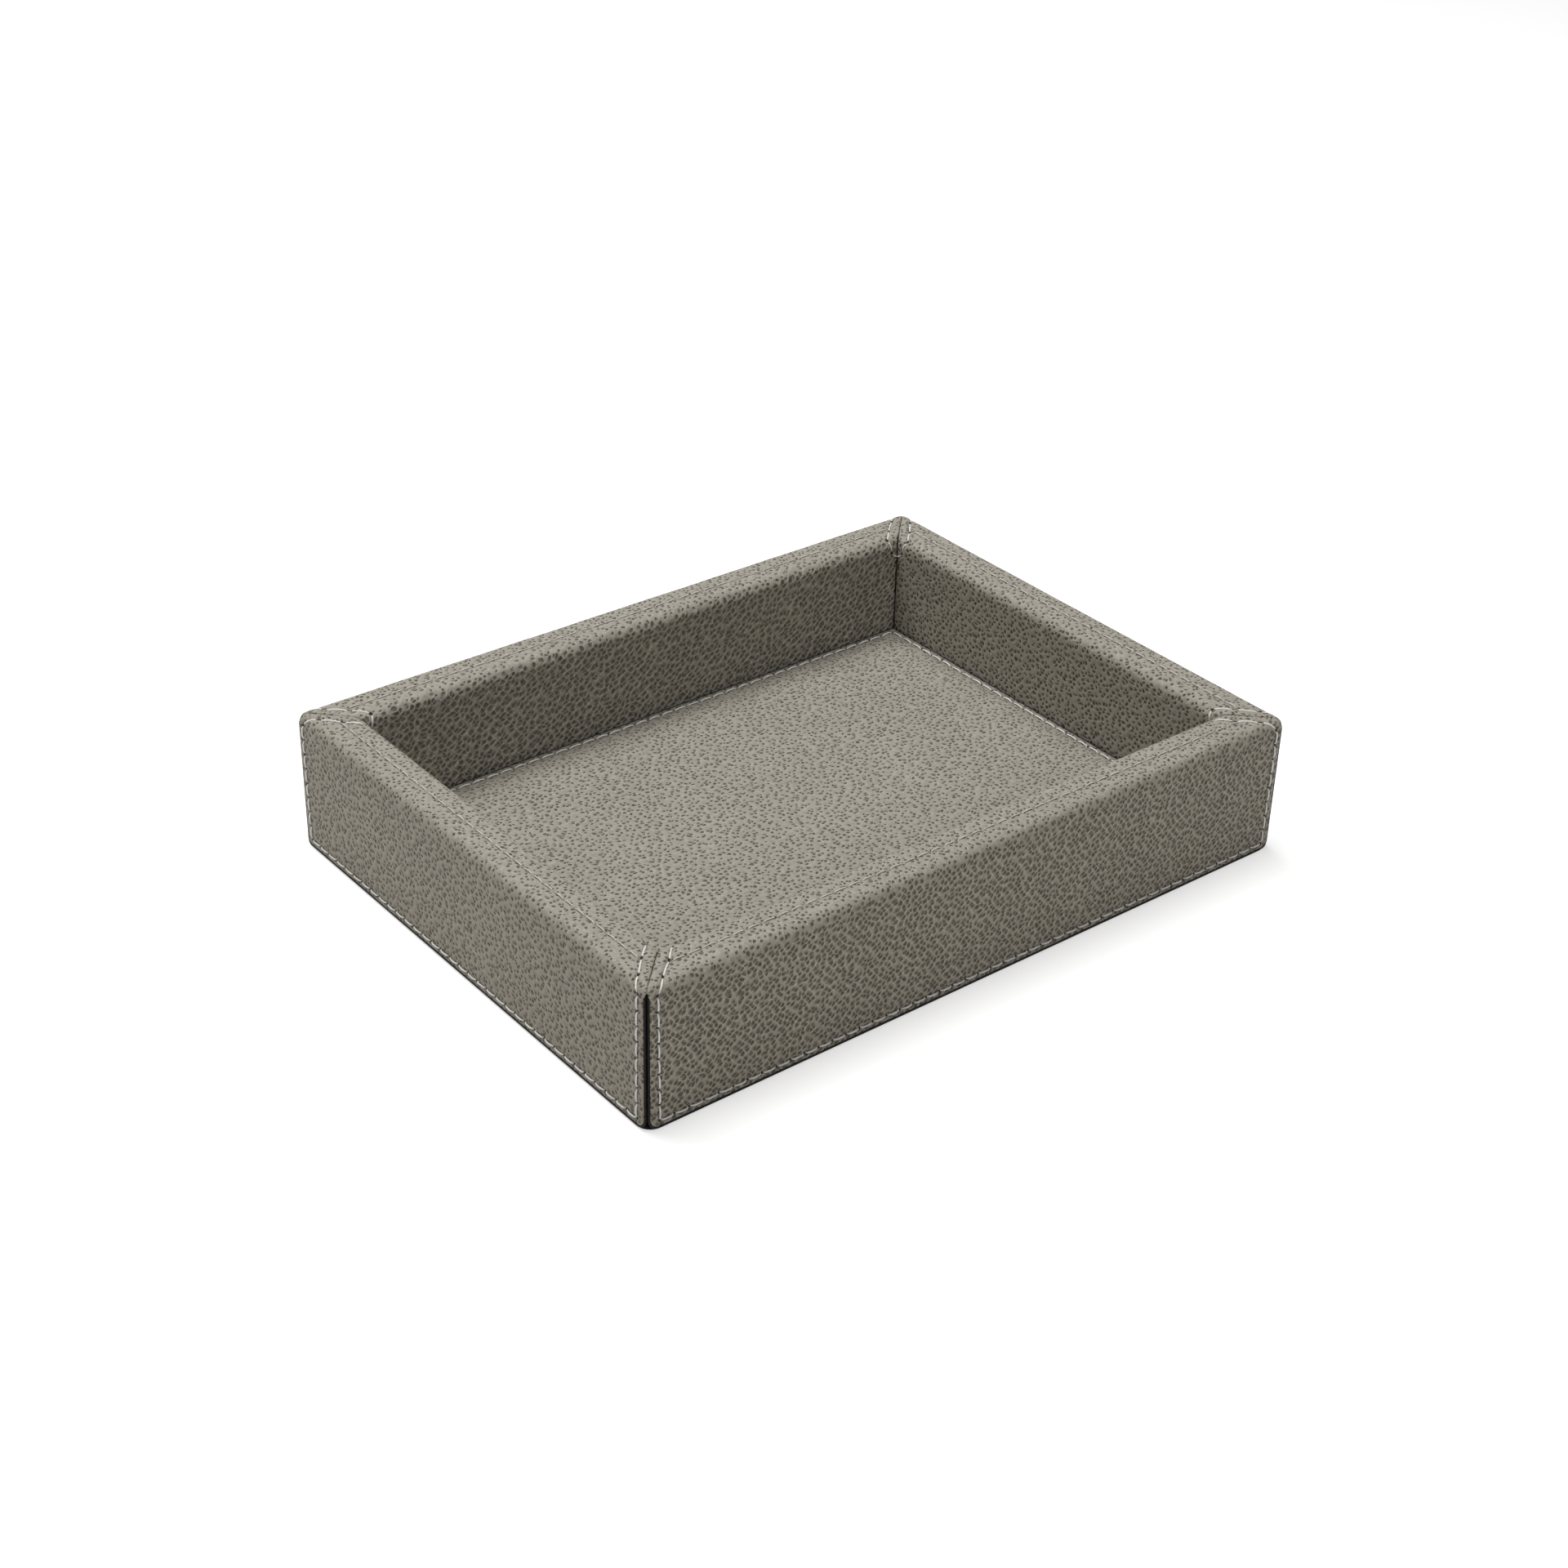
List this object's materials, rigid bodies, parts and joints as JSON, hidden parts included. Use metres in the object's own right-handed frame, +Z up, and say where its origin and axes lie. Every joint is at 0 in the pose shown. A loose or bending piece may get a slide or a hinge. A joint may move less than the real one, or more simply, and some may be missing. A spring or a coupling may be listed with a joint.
{
  "type": "desk tray",
  "caption": "Rectangular leather-covered desk tray with thick stitched walls, mitred corners and a padded floor.",
  "frame": {"origin": "the middle of the underside, on the surface that the tray stands on", "axes": "+X along the long sides, +Y along the short sides, +Z up out of the tray"},
  "size_m": [0.2604, 0.1954, 0.0502],
  "materials": {
    "leather": "taupe grey pebble-grained leather with a slight satin sheen",
    "thread": "off-white waxed sewing thread",
    "rim_thread": "fine thread in the tone of the leather",
    "edge_paint": "black leather edge paint, satin",
    "fibreboard": "bare fibreboard, hidden",
    "plywood": "bare plywood, hidden",
    "base_suede": "black faux suede, matt",
    "foam": "open-cell foam, hidden",
    "greyboard": "pressed card, hidden"
  },
  "bodies": {
    "root": {"board_front": "fibreboard", "board_back": "fibreboard", "board_left": "fibreboard", "board_right": "fibreboard", "base_board": "fibreboard", "corner_tongue_front_left": "plywood", "corner_tongue_front_right": "plywood", "corner_tongue_back_left": "plywood", "corner_tongue_back_right": "plywood", "base_cover": "base_suede", "outer_cover_front": "leather", "outer_cover_back": "leather", "outer_cover_left": "leather", "outer_cover_right": "leather", "inner_cover_front": "leather", "inner_cover_back": "leather", "inner_cover_left": "leather", "inner_cover_right": "leather", "painted_edge_front": "edge_paint", "painted_edge_back": "edge_paint", "painted_edge_left": "edge_paint", "painted_edge_right": "edge_paint", "seam_thread_front": "thread", "seam_thread_back": "thread", "seam_thread_left": "thread", "seam_thread_right": "thread", "rim_thread_front": "rim_thread", "rim_thread_back": "rim_thread", "rim_thread_left": "rim_thread", "rim_thread_right": "rim_thread", "pad_leather": "leather", "pad_foam": "foam", "pad_card": "greyboard", "pad_thread": "thread"}
  },
  "joints": []
}
